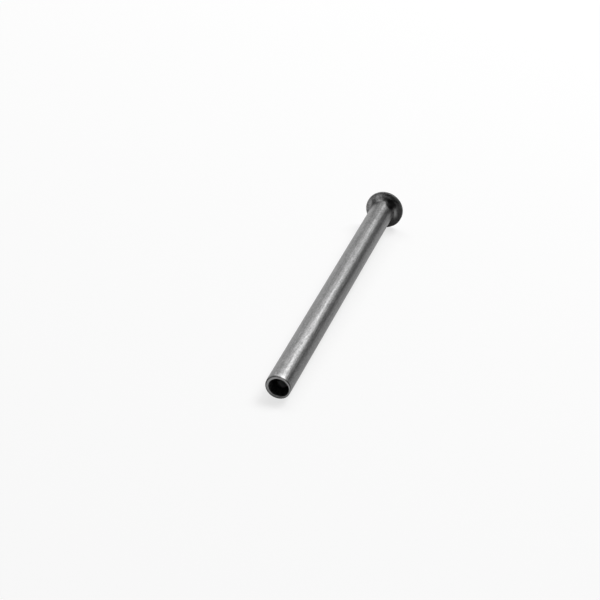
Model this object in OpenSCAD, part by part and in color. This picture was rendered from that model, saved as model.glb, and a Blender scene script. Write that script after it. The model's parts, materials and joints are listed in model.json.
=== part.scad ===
// Hollow rivet, also called a tubular rivet: a low domed head, a plain round shank and a
// blind hollow in the open end, whose thin wall is rolled over when the rivet is set.
// It lies on its side, as it comes to rest on a flat surface: the edge of the seat under the
// head and the edge of the open end touch z = 0, and the head is at +X.

/* [Shank] */
// Diameter of the shank
shank_d = 5; // [3:0.1:7]
// Length of the shank, from the open end to the seat under the head
shank_len = 70; // [20:1:120]
// Radius rolled round the outer edge of the open end
end_edge_r = 0.25; // [0.1:0.05:0.4]

/* [Head] */
// Diameter of the head
head_d = 8.1; // [7.5:0.1:14]
// Height of the head, from its seat to the top of the crown
head_h = 1.6; // [1.3:0.1:3]
// Height of the straight side of the rim, from the seat
rim_h = 0.55; // [0.4:0.05:0.7]
// Radius that leads the side of the rim into the crown
rim_r = 0.45; // [0.1:0.05:0.5]
// Radius round the edge of the seat
seat_edge_r = 0.15; // [0.05:0.05:0.3]
// Radius of the fillet that joins the shank to the seat under the head
neck_r = 0.9; // [0.2:0.1:1.5]
// Width of flat seat that the fillet leaves under the head, where the fillet has to be limited
seat_w = 0.3; // [0.1:0.05:0.8]

/* [Hollow] */
// Thickness of the wall round the hollow
tube_wall = 0.55; // [0.3:0.05:1]
// Depth of the hollow's straight wall, from the open end
hollow_depth = 8.8; // [3:0.1:18]
// Full angle of the cone that the punch leaves at the bottom of the hollow
punch_angle = 120; // [90:5:160]
// Width of the broken edge round the mouth of the hollow
mouth_edge = 0.08; // [0.02:0.01:0.12]

/* [Hidden] */
$fn = 96;

shank_r = shank_d / 2;
head_r = head_d / 2;
hollow_r = shank_r - tube_wall;
punch_tip = hollow_r / tan(punch_angle / 2);

// The lip round the mouth and the ledge under the head each keep some flat: a third of their
// width where they are too narrow for the whole edge or fillet
seat_x = head_r - seat_edge_r;
seat_z = shank_len + seat_edge_r;
lip = tube_wall - mouth_edge;
ledge = seat_x - shank_r;
end_edge = min(end_edge_r, lip * 2 / 3);
neck = min(neck_r, ledge - min(seat_w, ledge / 3));

// The crown is a ball's cap that runs smoothly into the round of the rim:
// the two arcs touch on the line through their centres
rim_x = head_r - rim_r;
rim_z = shank_len + rim_h;
crown_rise = head_h - rim_h;
crown_r = (rim_x * rim_x + crown_rise * crown_rise - rim_r * rim_r) / (2 * (crown_rise - rim_r));
crown_z = shank_len + head_h - crown_r;

// Lean of the axis when the edge of the seat and the edge of the open end share one plane
reach_x = seat_x - (shank_r - end_edge);
reach_z = seat_z - end_edge;
lean = atan2(reach_x, reach_z) - asin((end_edge - seat_edge_r) / norm([reach_x, reach_z]));

// Height of the axis at the open end, and the shift that centres the rivet on the origin
end_height = (shank_r - end_edge) * cos(lean) - end_edge * sin(lean) + end_edge;
low_x = end_edge * cos(lean) - (shank_r - end_edge) * sin(lean) - end_edge;
high_x = crown_z * cos(lean) + crown_r;
end_x = -(low_x + high_x) / 2;

// Half outline of the shank, its open end rounded and its neck filleted up to the seat
module shank_outline() {
    translate([0, end_edge]) square([shank_r, shank_len - end_edge]);
    square([shank_r - end_edge, 2 * end_edge]);
    translate([shank_r - end_edge, end_edge]) circle(end_edge);
    difference() {
        translate([0, shank_len - neck]) square([shank_r + neck, neck]);
        translate([shank_r + neck, shank_len - neck]) circle(neck);
    }
}

// Half outline of the head: flat seat with its broken edge, side of the rim, and crown
module head_outline() {
    translate([0, shank_len]) square([seat_x, seat_edge_r]);
    translate([seat_x, seat_z]) circle(seat_edge_r);
    translate([0, seat_z]) square([head_r, rim_h - seat_edge_r]);
    translate([rim_x, rim_z]) circle(rim_r);
    intersection() {
        translate([0, crown_z]) circle(crown_r);
        polygon([
            [0, shank_len],
            [rim_x * (shank_len - crown_z) / (rim_z - crown_z), shank_len],
            [2 * rim_x, 2 * rim_z - crown_z],
            [0, 2 * rim_z - crown_z]
        ]);
    }
}

// The punched hollow, with its broken edge at the mouth and a cone at the bottom
module hollow() {
    translate([0, 0, -1]) cylinder(h = hollow_depth + 1, r = hollow_r);
    translate([0, 0, hollow_depth]) cylinder(h = punch_tip, r1 = hollow_r, r2 = 0);
    cylinder(h = mouth_edge, r1 = hollow_r + mouth_edge, r2 = hollow_r);
}

module rivet() {
    color([0.62, 0.62, 0.61])
        translate([end_x, 0, end_height])
            rotate([0, 90 - lean, 0])
                difference() {
                    rotate_extrude() {
                        shank_outline();
                        head_outline();
                    }
                    hollow();
                }
}

rivet();
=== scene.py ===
"""Looks of the hollow rivet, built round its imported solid. One mesh stands for the one formed piece."""

import json
import math

import bpy
from mathutils import Euler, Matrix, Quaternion, Vector


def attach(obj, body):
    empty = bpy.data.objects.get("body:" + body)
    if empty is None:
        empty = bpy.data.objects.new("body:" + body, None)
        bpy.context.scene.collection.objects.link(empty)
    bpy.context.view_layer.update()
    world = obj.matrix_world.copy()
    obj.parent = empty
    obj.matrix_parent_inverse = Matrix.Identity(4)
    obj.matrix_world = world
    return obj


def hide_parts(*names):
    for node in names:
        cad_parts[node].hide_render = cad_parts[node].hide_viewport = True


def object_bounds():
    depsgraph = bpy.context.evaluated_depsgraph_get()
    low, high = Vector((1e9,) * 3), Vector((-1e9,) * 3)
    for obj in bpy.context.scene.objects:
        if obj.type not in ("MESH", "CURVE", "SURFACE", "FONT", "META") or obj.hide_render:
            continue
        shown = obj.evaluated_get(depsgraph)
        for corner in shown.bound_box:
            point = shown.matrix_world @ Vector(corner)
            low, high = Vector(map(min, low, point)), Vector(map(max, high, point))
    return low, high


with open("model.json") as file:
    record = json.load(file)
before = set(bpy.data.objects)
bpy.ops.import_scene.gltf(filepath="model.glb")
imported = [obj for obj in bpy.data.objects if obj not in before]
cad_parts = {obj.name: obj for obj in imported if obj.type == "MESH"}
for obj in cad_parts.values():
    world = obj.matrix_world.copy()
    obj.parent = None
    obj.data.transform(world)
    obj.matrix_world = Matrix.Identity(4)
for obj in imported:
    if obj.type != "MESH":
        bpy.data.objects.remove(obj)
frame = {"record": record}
cad_low, cad_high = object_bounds()

MM = 0.001
mounts = {mount["name"]: mount for mount in frame["record"]["mounts"]}

# Sizes in millimetres. The record gives the shank, the bore and the rivet's own axis, the frame gives
# the width of the head, and the rest repeat the part's source.
SHANK_R = mounts["shank"]["dims"]["r_mm"]
BORE_R = mounts["hollow"]["dims"]["r_mm"]
MOUTH_EDGE = 0.08
END_EDGE = 0.25
NECK_R = 0.9
SHANK_LEN = END_EDGE + mounts["shank"]["dims"]["length_mm"] + NECK_R
HOLLOW_DEPTH = MOUTH_EDGE + mounts["hollow"]["dims"]["length_mm"]
HEAD_R = (cad_high.y - cad_low.y) / 2 / MM
HEAD_H = 1.6
RIM_H = 0.55
RIM_R = 0.45
SEAT_EDGE = 0.15
HALF_PUNCH_ANGLE = math.radians(60)
PUNCH_TIP = BORE_R / math.tan(HALF_PUNCH_ANGLE)

# Sizes in millimetres that only the looks have
END_TUCK = 0.04  # the last of the tube is drawn in by this much
TUCK_LEN = 0.8
WORN_EDGE = 0.03  # every edge that was cut sharp has worn to about this radius
PUNCH_ROUND = 0.2  # radius between the hollow's wall and the cone at its bottom
PUNCH_ROUND_BACK = 0.115  # how far short of the wall's end the centre of that radius lies

# Sizes in metres
CARD_DISTANCE = 1.2
FLOOR_REACH = 3  # from the rivet to each edge of the floor
RECTANGLE = [(-1, -1), (1, -1), (1, 1), (-1, 1)]

# The rivet's own axis: its open end's centre, and the direction from there to the head
towards_head = -Vector(mounts["hollow"]["axis"]).normalized()
open_end = Vector(mounts["hollow"]["pos_m"]) - towards_head * (MOUTH_EDGE + HOLLOW_DEPTH) / 2 * MM
stance = Euler((0, math.atan2(towards_head.x, towards_head.z), 0))


# Camera

camera_data = bpy.data.cameras.new("camera")
camera_data.lens = 103.84
camera_data.sensor_width = 36
camera_data.clip_start, camera_data.clip_end = 0.01, 20
camera = bpy.data.objects.new("camera", camera_data)
camera.location = Vector((-284.113, -86.276, 177.996)) * MM
camera.rotation_euler = Euler((math.radians(90 - 30.814), 0, math.radians(18.302 - 90)))
bpy.context.scene.collection.objects.link(camera)
bpy.context.scene.camera = camera


# Node helpers


def steel_colour(hex_code):
    """sRGB hex to linear RGBA."""
    parts = [int(hex_code[i : i + 2], 16) / 255 for i in (1, 3, 5)]
    return [p / 12.92 if p <= 0.04045 else ((p + 0.055) / 1.055) ** 2.4 for p in parts] + [1.0]


def add(tree, kind, settings=None, **links):
    """
    Adds one node. Settings are its properties. Links are input values or sockets, under the input's
    name, or under its number as _0 or _1.
    """
    node = tree.nodes.new(kind)
    for name, value in (settings or {}).items():
        setattr(node, name, value)
    for name, value in links.items():
        socket = node.inputs[int(name[1:])] if name[0] == "_" else node.inputs[name.replace("_", " ")]
        if isinstance(value, bpy.types.Node):
            value = next(out for out in value.outputs if out.enabled)
        if isinstance(value, bpy.types.NodeSocket):
            tree.links.new(value, socket)
        else:
            socket.default_value = value
    return node


# Half outline of the rivet, from the bottom of the hollow round the open end to the top of the crown


def arc(centre_r, centre_z, radius, start, end, steps):
    """Points on an arc, angles in degrees from the radial direction towards the head."""
    for i in range(steps + 1):
        angle = math.radians(start + (end - start) * i / steps)
        yield centre_r + radius * math.cos(angle), centre_z + radius * math.sin(angle)


def straight(r0, z0, r1, z1, step):
    """Points along a straight stretch, without its two ends."""
    count = max(1, round(math.hypot(r1 - r0, z1 - z0) / step))
    for i in range(1, count):
        yield r0 + (r1 - r0) * i / count, z0 + (z1 - z0) * i / count


def rivet_outline():
    worn, deep = WORN_EDGE, HOLLOW_DEPTH
    points = [(0, deep + PUNCH_TIP)]
    points += straight(0, deep + PUNCH_TIP, BORE_R, deep, 0.3)
    points += arc(BORE_R - PUNCH_ROUND, deep - PUNCH_ROUND_BACK, PUNCH_ROUND, 60, 0, 4)
    points += straight(BORE_R, deep, BORE_R, MOUTH_EDGE, 0.4)
    points += arc(BORE_R + worn, MOUTH_EDGE, worn, 180, 225, 2)
    points += arc(BORE_R + MOUTH_EDGE, worn, worn, 225, 270, 2)
    end_r = SHANK_R - END_TUCK
    points += straight(BORE_R + MOUTH_EDGE, 0, end_r - END_EDGE, 0, 0.06)
    points += arc(end_r - END_EDGE, END_EDGE, END_EDGE, -90, 0, 12)
    points += straight(end_r, END_EDGE, SHANK_R, TUCK_LEN, 0.2)
    points += straight(SHANK_R, TUCK_LEN, SHANK_R, SHANK_LEN - NECK_R, 0.5)
    points += arc(SHANK_R + NECK_R, SHANK_LEN - NECK_R, NECK_R, 180, 90, 14)
    points += straight(SHANK_R + NECK_R, SHANK_LEN, HEAD_R - SEAT_EDGE, SHANK_LEN, 0.1)
    points += arc(HEAD_R - SEAT_EDGE, SHANK_LEN + SEAT_EDGE, SEAT_EDGE, -90, 0, 6)
    points += straight(HEAD_R, SHANK_LEN + SEAT_EDGE, HEAD_R, SHANK_LEN + RIM_H, 0.1)
    rim_x, rise = HEAD_R - RIM_R, HEAD_H - RIM_H
    crown_r = (rim_x**2 + rise**2 - RIM_R**2) / (2 * (rise - RIM_R))
    crown_z = SHANK_LEN + HEAD_H - crown_r
    meet = math.degrees(math.atan2(SHANK_LEN + RIM_H - crown_z, rim_x))
    points += arc(rim_x, SHANK_LEN + RIM_H, RIM_R, 0, meet, 10)
    points += list(arc(0, crown_z, crown_r, meet, 90, 26))[1:-1]
    points += [(0, SHANK_LEN + HEAD_H)]
    return points


# Materials


def blank_material(name):
    material = bpy.data.materials.new(name)
    material.use_nodes = True
    material.node_tree.nodes.clear()
    return material, material.node_tree


def own_place(tree):
    """Places in millimetres in the rivet's own frame: z runs from the open end to the head."""
    seat = add(tree, "ShaderNodeTexCoord")
    return add(
        tree,
        "ShaderNodeMapping",
        {"vector_type": "TEXTURE"},
        Vector=seat.outputs["Object"],
        Location=open_end,
        Rotation=stance,
        Scale=(MM, MM, MM),
    )


def out_from_axis(tree, apart):
    """How far out from the rivet's axis a place is, from its parts."""
    flat = add(tree, "ShaderNodeCombineXYZ", _0=apart[0], _1=apart[1])
    return add(tree, "ShaderNodeVectorMath", {"operation": "LENGTH"}, _0=flat).outputs["Value"]


def layered_noise(tree, place, layers):
    """A sum of noises. A layer is its waves to the millimetre in the rivet's x, y and z, and its weight."""
    total = 0.0
    for number, (waves, weight) in enumerate(layers):
        spread = add(
            tree,
            "ShaderNodeVectorMath",
            {"operation": "MULTIPLY_ADD"},
            _0=place,
            _1=waves,
            _2=(3.1 * number, 7.7, 1.3 * number),
        )
        noise = add(tree, "ShaderNodeTexNoise", Vector=spread, Scale=1.0, Detail=2.0, Roughness=0.6)
        total = add(tree, "ShaderNodeMath", {"operation": "MULTIPLY_ADD"}, _0=noise, _1=weight, _2=total)
    return total


def painted(tree, colour, hex_code, value, none_at, full_at, share=1.0):
    """Lays one colour over another, from a value where it has not begun to one where it is full."""
    cover = add(
        tree,
        "ShaderNodeMapRange",
        {"interpolation_type": "SMOOTHSTEP"},
        Value=value,
        From_Min=none_at,
        From_Max=full_at,
        To_Max=share,
    )
    laid_over = steel_colour(hex_code)
    return add(tree, "ShaderNodeMix", {"data_type": "RGBA"}, _0=cover, _6=colour, _7=laid_over).outputs[2]


def finish(tree, colour, wear, first_rough, last_rough, spread, bump_height, bump_depth, metallic=1.0):
    """Joins a colour, a roughness that goes with the wear value, and a height to a metal surface."""
    middle, half = spread
    rough = add(
        tree,
        "ShaderNodeMapRange",
        Value=wear,
        From_Min=middle - half,
        From_Max=middle + half,
        To_Min=first_rough,
        To_Max=last_rough,
    )
    bump = add(tree, "ShaderNodeBump", Strength=1.0, Distance=bump_depth * MM, Height=bump_height)
    shader = add(
        tree,
        "ShaderNodeBsdfPrincipled",
        Base_Color=colour,
        Metallic=metallic,
        Roughness=rough,
        Normal=bump,
    )
    add(tree, "ShaderNodeOutputMaterial", Surface=shader)


def cold_drawn_steel():
    """Cold-drawn low-carbon steel wire, bare: half bright, with lines along its length, and painted shade
    down one side.
    """
    material, tree = blank_material("cold_drawn_steel")
    place = own_place(tree)
    apart = add(tree, "ShaderNodeSeparateXYZ", _0=place).outputs
    # Lines from the drawing die are a few hundredths of a millimetre apart. They are drawn
    # a third of a millimetre apart here, so that they show.
    lines = layered_noise(tree, place, [((3.2, 3.2, 0.12), 0.6)])
    long_dashes = ((3.0, 3.0, 0.8), 0.5)
    short_dashes = ((3.6, 3.6, 3.0), 1.0)
    clouds = ((0.9, 0.9, 0.3), 0.25)
    dashes = layered_noise(tree, place, [long_dashes, short_dashes, clouds])
    wear = add(tree, "ShaderNodeMath", {"operation": "ADD"}, _0=lines, _1=dashes)
    colour = painted(tree, steel_colour("#5A5A5A"), "#989898", wear, none_at=0.65, full_at=1.7)

    # Painted shade darkens one side of the shank, reaching further round towards the head.
    shade_drift = -0.009  # millimetres round for each one along
    side_shade = add(tree, "ShaderNodeMath", {"operation": "MULTIPLY_ADD"}, _0=apart[2], _1=shade_drift, _2=apart[1])
    colour = painted(tree, colour, "#484848", side_shade, none_at=-1.4, full_at=-2.3, share=0.33)

    # Painted shade, near black, reaches out of the corner under the head onto the end of the shank
    corner = (-1.95, -1.6, SHANK_LEN - 0.9)
    neck_shade = add(tree, "ShaderNodeVectorMath", {"operation": "DISTANCE"}, _0=place, _1=corner).outputs["Value"]
    colour = painted(tree, colour, "#0C0C0C", neck_shade, none_at=1.35, full_at=0.75, share=0.92)

    # The cut lip of the open end is bare. The rounding outside it carries painted shade, wider and darker on
    # one side.
    radius = out_from_axis(tree, apart)
    rounding = add(tree, "ShaderNodeMath", {"operation": "SUBTRACT"}, _0=radius, _1=apart[2])
    colour = painted(tree, colour, "#484848", rounding, SHANK_R - 0.45, SHANK_R - 0.3, share=0.85)
    shade_side_y = add(tree, "ShaderNodeMath", {"operation": "MINIMUM"}, _0=apart[1], _1=0.0)
    rounding_shade = add(tree, "ShaderNodeMath", {"operation": "MULTIPLY_ADD"}, _0=shade_side_y, _1=-0.26, _2=rounding)
    colour = painted(tree, colour, "#202020", rounding_shade, SHANK_R - 0.14, SHANK_R, share=0.9)
    colour = painted(tree, colour, "#919191", apart[2], none_at=0.05, full_at=0.02)
    finish(
        tree,
        colour,
        wear,
        first_rough=0.33,
        last_rough=0.38,
        spread=(1.15, 0.4),
        bump_height=lines,
        bump_depth=0.0025,
    )
    return material


def cold_headed_steel():
    """The same steel upset into a head: duller, mottled under the head and brushed on the crown."""
    material, tree = blank_material("cold_headed_steel")
    place = own_place(tree)
    apart = add(tree, "ShaderNodeSeparateXYZ", _0=place).outputs
    mottle = layered_noise(tree, place, [((2.2, 2.2, 2.2), 1.0), ((0.8, 0.8, 0.8), 0.8)])
    brushed = layered_noise(tree, place, [((0.2, 2.6, 0.5), 1.0), ((0.5, 0.9, 0.5), 0.8)])
    rim_top = SHANK_LEN + RIM_H
    on_crown = add(
        tree,
        "ShaderNodeMapRange",
        Value=apart[2],
        From_Min=rim_top + 0.2,
        From_Max=rim_top + 0.4,
    )
    wear = add(tree, "ShaderNodeMix", {"data_type": "FLOAT"}, _0=on_crown, _2=mottle, _3=brushed)
    colour = painted(tree, steel_colour("#686868"), "#989898", wear, none_at=0.55, full_at=1.25)

    # Painted shade, mottled, darkens one side of the head off the crown, and is darkest in the corner at the
    # neck
    shade_mottle = add(tree, "ShaderNodeMath", {"operation": "ADD"}, _0=mottle, _1=apart[1])
    shade_mottle = add(tree, "ShaderNodeMath", {"operation": "MULTIPLY_ADD"}, _0=on_crown, _1=9.0, _2=shade_mottle)
    colour = painted(tree, colour, "#262626", shade_mottle, none_at=1.9, full_at=0.3, share=0.78)
    corner = (-2.1, -1.8, SHANK_LEN - 0.6)
    neck_shade = add(tree, "ShaderNodeVectorMath", {"operation": "DISTANCE"}, _0=place, _1=corner).outputs["Value"]
    neck_shade = add(tree, "ShaderNodeMath", {"operation": "MULTIPLY_ADD"}, _0=mottle, _1=0.9, _2=neck_shade)
    colour = painted(tree, colour, "#0C0C0C", neck_shade, none_at=2.7, full_at=1.6, share=0.95)

    # A painted highlight lies in a patch on the neck, over the painted shade, longer round the neck than
    # along it
    long_way = (0.4, 1.0, 1.0)
    light_spot_centre = (0.1, -2.6, SHANK_LEN - 0.45)
    squeezed = add(tree, "ShaderNodeVectorMath", {"operation": "MULTIPLY"}, _0=place, _1=long_way)
    painted_light_spot = add(tree, "ShaderNodeVectorMath", {"operation": "DISTANCE"}, _0=squeezed, _1=light_spot_centre)
    painted_light_spot = painted_light_spot.outputs["Value"]
    colour = painted(tree, colour, "#8C8C8C", painted_light_spot, none_at=0.7, full_at=0.15, share=0.6)

    # Painted shade darkens the edge of the rim on the upper side
    radius = out_from_axis(tree, apart)
    rim_edge_shade = add(tree, "ShaderNodeMath", {"operation": "MULTIPLY_ADD"}, _0=apart[0], _1=-0.12, _2=radius)
    rim_edge_shade = add(tree, "ShaderNodeMath", {"operation": "SUBTRACT"}, _0=rim_edge_shade, _1=on_crown)
    colour = painted(tree, colour, "#3A3A3A", rim_edge_shade, none_at=4.0, full_at=4.25, share=0.6)

    # A dark speck on the other side
    spot = (-1.8, 2.05, SHANK_LEN - 0.3)
    speck = add(tree, "ShaderNodeVectorMath", {"operation": "DISTANCE"}, _0=place, _1=spot).outputs["Value"]
    speck = add(tree, "ShaderNodeMath", {"operation": "MULTIPLY_ADD"}, _0=mottle, _1=0.6, _2=speck)
    colour = painted(tree, colour, "#3A3A3A", speck, none_at=1.5, full_at=0.9, share=0.8)

    # Small marks near the middle of the crown
    top = (0, 0, SHANK_LEN + HEAD_H)
    middle = add(tree, "ShaderNodeVectorMath", {"operation": "DISTANCE"}, _0=place, _1=top).outputs["Value"]
    pits = layered_noise(tree, place, [((1.3, 2.9, 1.0), 1.0)])
    marks = add(tree, "ShaderNodeMath", {"operation": "MULTIPLY_ADD"}, _0=pits, _1=-9.0, _2=middle)
    colour = painted(tree, colour, "#404040", marks, none_at=-4.2, full_at=-4.8, share=0.7)
    finish(
        tree,
        colour,
        wear,
        first_rough=0.5,
        last_rough=0.37,
        spread=(0.9, 0.25),
        bump_height=wear,
        bump_depth=0.012,
    )
    return material


def punched_steel():
    """Punched steel, half dull, its colour painted dark as shade in the hollow, so little light comes out of
    it.
    """
    material, tree = blank_material("punched_steel")
    place = own_place(tree)
    apart = add(tree, "ShaderNodeSeparateXYZ", _0=place).outputs
    shade_mottle = layered_noise(tree, place, [((2.2, 2.2, 0.6), 1.0)])
    colour = painted(tree, steel_colour("#1C1C1C"), "#484848", shade_mottle, none_at=0.35, full_at=0.65)

    # A painted reflection lies as a light patch in one place on the low side
    light_spot_centre = (1.75, 0.6, 4.1)
    painted_light_spot = add(tree, "ShaderNodeVectorMath", {"operation": "DISTANCE"}, _0=place, _1=light_spot_centre).outputs["Value"]
    colour = painted(tree, colour, "#F0F0F0", painted_light_spot, none_at=1.3, full_at=0.6, share=0.9)

    # Just inside the mouth the low side of the wall carries painted light
    lit_low_wall = add(tree, "ShaderNodeMath", {"operation": "MULTIPLY_ADD"}, _0=apart[0], _1=-1.0, _2=apart[2])
    colour = painted(tree, colour, "#F0F0F0", lit_low_wall, 0.5 - BORE_R, 0.2 - BORE_R, share=0.9)
    finish(
        tree,
        colour,
        shade_mottle,
        first_rough=0.6,
        last_rough=0.5,
        spread=(0.5, 0.2),
        bump_height=shade_mottle,
        bump_depth=0.012,
        metallic=0.5,
    )
    return material


# Geometry


def turned_rivet_tree(shank_finish, head_finish, hollow_finish):
    """
    Turns the half outline round the axis and closes it, sets shank and head a little out of line, dents
    them, and lays the rivet in its place.
    """
    tree = bpy.data.node_groups.new("turned_rivet", "GeometryNodeTree")
    tree.is_modifier = True
    face = tree.interface
    for name, kind in [
        ("Outline", "Geometry"),
        ("Steps Round", "Int"),
        ("Shank Aside", "Vector"),
        ("Head Lean", "Float"),
        ("Head Trim", "Vector"),
        ("Dent Depth", "Float"),
        ("Nick Depth", "Float"),
        ("Seed", "Float"),
        ("Open End", "Vector"),
        ("Stance", "Vector"),
    ]:
        face.new_socket(name, in_out="INPUT", socket_type="NodeSocket" + kind)
    face.new_socket("Rivet", in_out="OUTPUT", socket_type="NodeSocketGeometry")
    given = add(tree, "NodeGroupInput").outputs

    # The outline is one column of a grid, and each further column is the same one turned
    count = add(tree, "GeometryNodeAttributeDomainSize", Geometry=given["Outline"]).outputs["Point Count"]
    columns = add(tree, "ShaderNodeMath", {"operation": "ADD"}, _0=given["Steps Round"], _1=1.0)
    grid = add(tree, "GeometryNodeMeshGrid", Vertices_X=columns, Vertices_Y=count)
    index = add(tree, "GeometryNodeInputIndex")
    row = add(tree, "ShaderNodeMath", {"operation": "MODULO"}, _0=index, _1=count)
    column = add(tree, "ShaderNodeMath", {"operation": "DIVIDE"}, _0=index, _1=count)
    column = add(tree, "ShaderNodeMath", {"operation": "FLOOR"}, _0=column)
    turn = add(tree, "ShaderNodeMath", {"operation": "DIVIDE"}, _0=column, _1=given["Steps Round"])
    turn = add(tree, "ShaderNodeMath", {"operation": "MULTIPLY"}, _0=turn, _1=2 * math.pi)
    position = add(tree, "GeometryNodeInputPosition")
    point = add(
        tree,
        "GeometryNodeSampleIndex",
        {"data_type": "FLOAT_VECTOR"},
        Geometry=given["Outline"],
        Value=position,
        Index=row,
    )
    turned = add(tree, "ShaderNodeVectorRotate", {"rotation_type": "Z_AXIS"}, Vector=point, Angle=turn)
    body = add(tree, "GeometryNodeSetPosition", Geometry=grid, Position=turned)
    weld = 1e-7
    body = add(tree, "GeometryNodeMergeByDistance", Geometry=body, Distance=weld)

    # Where each point was when the rivet was true, in millimetres, tells its region from here on
    true_place = add(tree, "ShaderNodeVectorMath", {"operation": "SCALE"}, _0=position, Scale=1 / MM)
    body = add(
        tree,
        "GeometryNodeStoreNamedAttribute",
        {"data_type": "FLOAT_VECTOR", "domain": "POINT"},
        Geometry=body,
        Name="true_place",
        Value=true_place,
    )
    place = add(tree, "GeometryNodeInputNamedAttribute", {"data_type": "FLOAT_VECTOR"}, Name="true_place")
    apart = add(tree, "ShaderNodeSeparateXYZ", _0=place).outputs
    radius = out_from_axis(tree, apart)
    head_from = SHANK_LEN - NECK_R * 0.8
    in_head = add(tree, "FunctionNodeCompare", {"operation": "GREATER_THAN"}, _0=apart[2], _1=head_from)
    near_axis = add(tree, "FunctionNodeCompare", {"operation": "LESS_THAN"}, _0=radius, _1=BORE_R + 0.01)
    in_bore = add(tree, "FunctionNodeBooleanMath", {"operation": "NIMPLY"}, _0=near_axis, _1=in_head)
    seat = SHANK_LEN + 0.001
    below_seat = add(tree, "FunctionNodeCompare", {"operation": "LESS_THAN"}, _0=apart[2], _1=seat)

    # The shank lies a little off the line of the hollow and the head. The lip and the neck take up the step.
    on_shank = add(
        tree,
        "ShaderNodeMapRange",
        {"interpolation_type": "SMOOTHSTEP"},
        Value=radius,
        From_Min=SHANK_R - END_EDGE,
        From_Max=SHANK_R,
    )
    off_neck = add(
        tree,
        "ShaderNodeMapRange",
        {"interpolation_type": "SMOOTHSTEP"},
        Value=radius,
        From_Min=SHANK_R + NECK_R,
        From_Max=SHANK_R,
    )
    share = add(tree, "ShaderNodeMath", {"operation": "MULTIPLY"}, _0=on_shank, _1=off_neck)
    share = add(tree, "ShaderNodeMath", {"operation": "MULTIPLY"}, _0=share, _1=below_seat)
    shift = add(tree, "ShaderNodeVectorMath", {"operation": "SCALE"}, _0=given["Shank Aside"], Scale=share)
    body = add(tree, "GeometryNodeSetPosition", Geometry=body, Offset=shift)

    # The head leans a little on the shank
    rest = add(tree, "ShaderNodeMath", {"operation": "SUBTRACT"}, _0=1.0, _1=share)
    angle = add(tree, "ShaderNodeMath", {"operation": "MULTIPLY"}, _0=rest, _1=given["Head Lean"])
    leant = add(
        tree,
        "ShaderNodeVectorRotate",
        {"rotation_type": "Y_AXIS"},
        Vector=position,
        Center=(0, 0, SHANK_LEN * MM),
        Angle=angle,
    )
    trimmed = add(tree, "ShaderNodeVectorMath", {"operation": "MULTIPLY"}, _0=leant, _1=given["Head Trim"])
    body = add(tree, "GeometryNodeSetPosition", Geometry=body, Selection=in_head, Position=trimmed)

    # Drawing and handling left shallow dents, and small nicks in the rim of the head. All go inwards.
    long_dents = (0.4, 0.4, 0.07)
    spread = add(tree, "ShaderNodeVectorMath", {"operation": "MULTIPLY"}, _0=place, _1=long_dents)
    dents = add(
        tree,
        "ShaderNodeTexNoise",
        {"noise_dimensions": "4D"},
        Vector=spread,
        W=given["Seed"],
        Scale=1.0,
        Detail=1.0,
    )
    chips = add(
        tree,
        "ShaderNodeTexNoise",
        {"noise_dimensions": "4D"},
        Vector=place,
        W=given["Seed"],
        Scale=1.3,
        Detail=2.0,
    )
    nicks = add(
        tree,
        "ShaderNodeMapRange",
        {"interpolation_type": "SMOOTHSTEP"},
        Value=chips,
        From_Min=0.5,
        From_Max=0.75,
    )
    on_rim = add(tree, "FunctionNodeCompare", {"operation": "GREATER_THAN"}, _0=radius, _1=SHANK_R + NECK_R)
    nicks = add(tree, "ShaderNodeMath", {"operation": "MULTIPLY"}, _0=nicks, _1=on_rim)
    nicks = add(tree, "ShaderNodeMath", {"operation": "MULTIPLY"}, _0=nicks, _1=given["Nick Depth"])
    dent_depth = given["Dent Depth"]
    depth = add(tree, "ShaderNodeMath", {"operation": "MULTIPLY_ADD"}, _0=dents, _1=dent_depth, _2=nicks)
    depth = add(tree, "ShaderNodeMath", {"operation": "MULTIPLY"}, _0=depth, _1=-1.0)
    normal = add(tree, "GeometryNodeInputNormal")
    inwards = add(tree, "ShaderNodeVectorMath", {"operation": "SCALE"}, _0=normal, Scale=depth)
    body = add(tree, "GeometryNodeSetPosition", Geometry=body, Offset=inwards)

    body = add(
        tree,
        "GeometryNodeTransform",
        Geometry=body,
        Translation=given["Open End"],
        Rotation=given["Stance"],
    )
    body = add(tree, "GeometryNodeSetShadeSmooth", Geometry=body, Shade_Smooth=True)
    body = add(tree, "GeometryNodeRealizeInstances", Geometry=body)
    body = add(tree, "GeometryNodeSetMaterial", Geometry=body, Material=shank_finish)
    body = add(tree, "GeometryNodeSetMaterial", Geometry=body, Selection=in_head, Material=head_finish)
    body = add(tree, "GeometryNodeSetMaterial", Geometry=body, Selection=in_bore, Material=hollow_finish)
    add(tree, "NodeGroupOutput", Rivet=body)
    return tree


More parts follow.
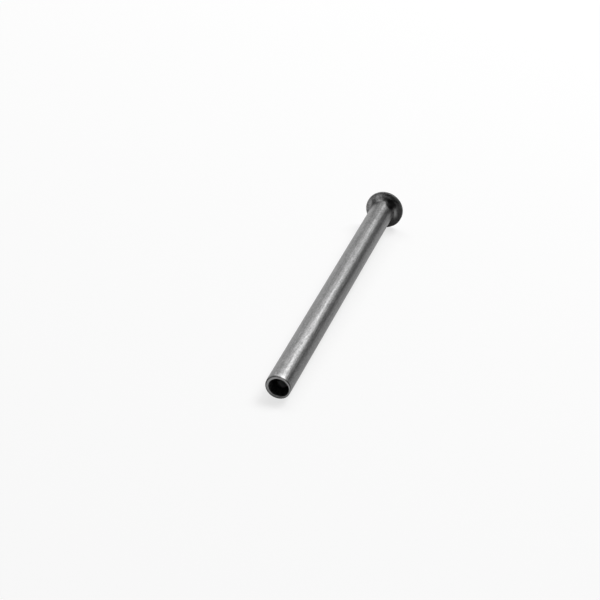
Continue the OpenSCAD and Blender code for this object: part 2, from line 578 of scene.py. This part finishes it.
def make_rivet():
    outline = bpy.data.meshes.new("rivet_outline")
    outline.from_pydata([(r * MM, 0, z * MM) for r, z in rivet_outline()], [], [])
    blank = bpy.data.objects.new("rivet_outline", outline)
    bpy.context.scene.collection.objects.link(blank)
    tree = turned_rivet_tree(cold_drawn_steel(), cold_headed_steel(), punched_steel())
    turning = blank.modifiers.new("turning", "NODES")
    turning.node_group = tree
    sizes = {
        "Steps Round": 256,
        "Shank Aside": (0.0, 0.2 * MM, 0.0),
        "Head Lean": 0.08,
        "Head Trim": (0.993, 0.998, 0.9998),
        "Dent Depth": 0.005 * MM,
        "Nick Depth": 0.05 * MM,
        "Seed": 11.0,
        "Open End": open_end,
        "Stance": stance,
    }
    for item in tree.interface.items_tree:
        if item.in_out == "INPUT" and item.name in sizes:
            turning[item.identifier] = sizes[item.name]
    evaluated = blank.evaluated_get(bpy.context.evaluated_depsgraph_get())
    mesh = bpy.data.meshes.new_from_object(evaluated)
    mesh.name = "formed_rivet"
    blank.modifiers.clear()
    bpy.data.objects.remove(blank)
    rivet = bpy.data.objects.new("formed_rivet", mesh)
    bpy.context.scene.collection.objects.link(rivet)
    return rivet


rivet = make_rivet()
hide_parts("rivet")
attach(rivet, "root")


# Studio


def mirrored_ray(tree, path):
    """One for a ray that a surface has mirrored or let through, and zero for any other."""
    glossy, clear = path["Is Glossy Ray"], path["Is Transmission Ray"]
    return add(tree, "ShaderNodeMath", {"operation": "MAXIMUM"}, _0=glossy, _1=clear)


def pale_floor():
    """Matt white paper. Seen directly it is mostly its own white, so the rivet's soft shadow stays light."""
    own_white_seen, own_white_mirrored = 0.72, 0.06
    material, tree = blank_material("pale_floor")
    path = add(tree, "ShaderNodeLightPath").outputs
    mirrored = mirrored_ray(tree, path)
    share = add(tree, "ShaderNodeMath", {"operation": "MULTIPLY"}, _0=mirrored, _1=own_white_mirrored)
    share = add(
        tree,
        "ShaderNodeMath",
        {"operation": "MULTIPLY_ADD"},
        _0=path["Is Camera Ray"],
        _1=own_white_seen,
        _2=share,
    )
    paper = add(tree, "ShaderNodeBsdfDiffuse", Color=steel_colour("#FAFAFA"))
    white = add(tree, "ShaderNodeEmission", Color=steel_colour("#FFFFFF"), Strength=1.0)
    both = add(tree, "ShaderNodeMixShader", _0=share, _1=paper, _2=white)
    add(tree, "ShaderNodeOutputMaterial", Surface=both)
    return material


def white_air():
    """A white world, dim where it lights a surface and full where it is seen or mirrored."""
    dim_level = 0.165
    world = bpy.data.worlds.new("studio")
    world.use_nodes = True
    tree = world.node_tree
    tree.nodes.clear()
    path = add(tree, "ShaderNodeLightPath").outputs
    mirrored = mirrored_ray(tree, path)
    seen = add(tree, "ShaderNodeMath", {"operation": "MAXIMUM"}, _0=path["Is Camera Ray"], _1=mirrored)
    level = add(tree, "ShaderNodeMapRange", Value=seen, To_Min=dim_level, To_Max=1.0)
    air = add(tree, "ShaderNodeBackground", Color=(1, 1, 1, 1), Strength=level)
    add(tree, "ShaderNodeOutputWorld", Surface=air)
    return world


floor_mesh = bpy.data.meshes.new("studio_floor")
floor_corners = [(x * FLOOR_REACH, y * FLOOR_REACH, 0) for x, y in RECTANGLE]
floor_mesh.from_pydata(floor_corners, [], [(0, 1, 2, 3)])
floor_mesh.materials.append(pale_floor())
floor = bpy.data.objects.new("studio_floor", floor_mesh)
bpy.context.scene.collection.objects.link(floor)

bpy.context.scene.world = white_air()
bpy.context.scene.view_settings.view_transform = "Standard"


def towards(azimuth, elevation):
    """The direction from the rivet to something in the studio. Azimuth 90 is beyond the head, 0 is -Y."""
    a, e = math.radians(azimuth), math.radians(elevation)
    return Vector((math.sin(a) * math.cos(e), -math.cos(a) * math.cos(e), math.sin(e)))


def facing(direction, roll):
    """The turn that faces something at the rivet, rolled by some degrees about the line of sight."""
    return direction.to_track_quat("Z", "Y") @ Quaternion((0, 0, 1), math.radians(roll))


def soft_box(name, direction, roll, distance, width, height, radiance):
    """
    A rectangular soft lamp that faces the rivet. Radiance is what a mirror shows of it, on top of the
    white behind it.
    """
    lamp = bpy.data.lights.new(name, "AREA")
    lamp.shape = "RECTANGLE"
    lamp.size, lamp.size_y = width, height
    lamp.energy = radiance * math.pi * width * height
    holder = bpy.data.objects.new(name, lamp)
    holder.location = direction * distance
    holder.rotation_euler = facing(direction, roll).to_euler()
    holder.visible_camera = False
    bpy.context.scene.collection.objects.link(holder)


def card(name, hex_code, direction, roll, width, height):
    """
    A felt card that only reflections show. It gives the steel its dark stripes and takes no light off
    the floor.
    """
    felt, tree = blank_material(name + "_felt")
    cloth = add(tree, "ShaderNodeBsdfDiffuse", Color=steel_colour(hex_code))
    add(tree, "ShaderNodeOutputMaterial", Surface=cloth)
    mesh = bpy.data.meshes.new(name)
    turn = facing(direction, roll)
    corners = [turn @ Vector((x * width / 2, y * height / 2, CARD_DISTANCE)) for x, y in RECTANGLE]
    mesh.from_pydata(corners, [], [(0, 1, 2, 3)])
    mesh.materials.append(felt)
    board = bpy.data.objects.new(name, mesh)
    board.visible_camera = board.visible_diffuse = board.visible_shadow = False
    bpy.context.scene.collection.objects.link(board)


soft_box("back_soft_box", towards(54.5, 52.5), roll=5, distance=1.1, width=0.6, height=0.44, radiance=9.0)
soft_box("back_left_box", towards(100, 55), roll=-5, distance=1.1, width=1.08, height=0.33, radiance=4.3)
card("side_card", "#303030", towards(62, 17.5), roll=22, width=1.58, height=0.58)
card("left_card", "#6E6E6E", towards(110, 28.5), roll=0, width=0.48, height=0.28)
card("front_card", "#8A8A8A", towards(-100, 52), roll=0, width=1.8, height=1.1)
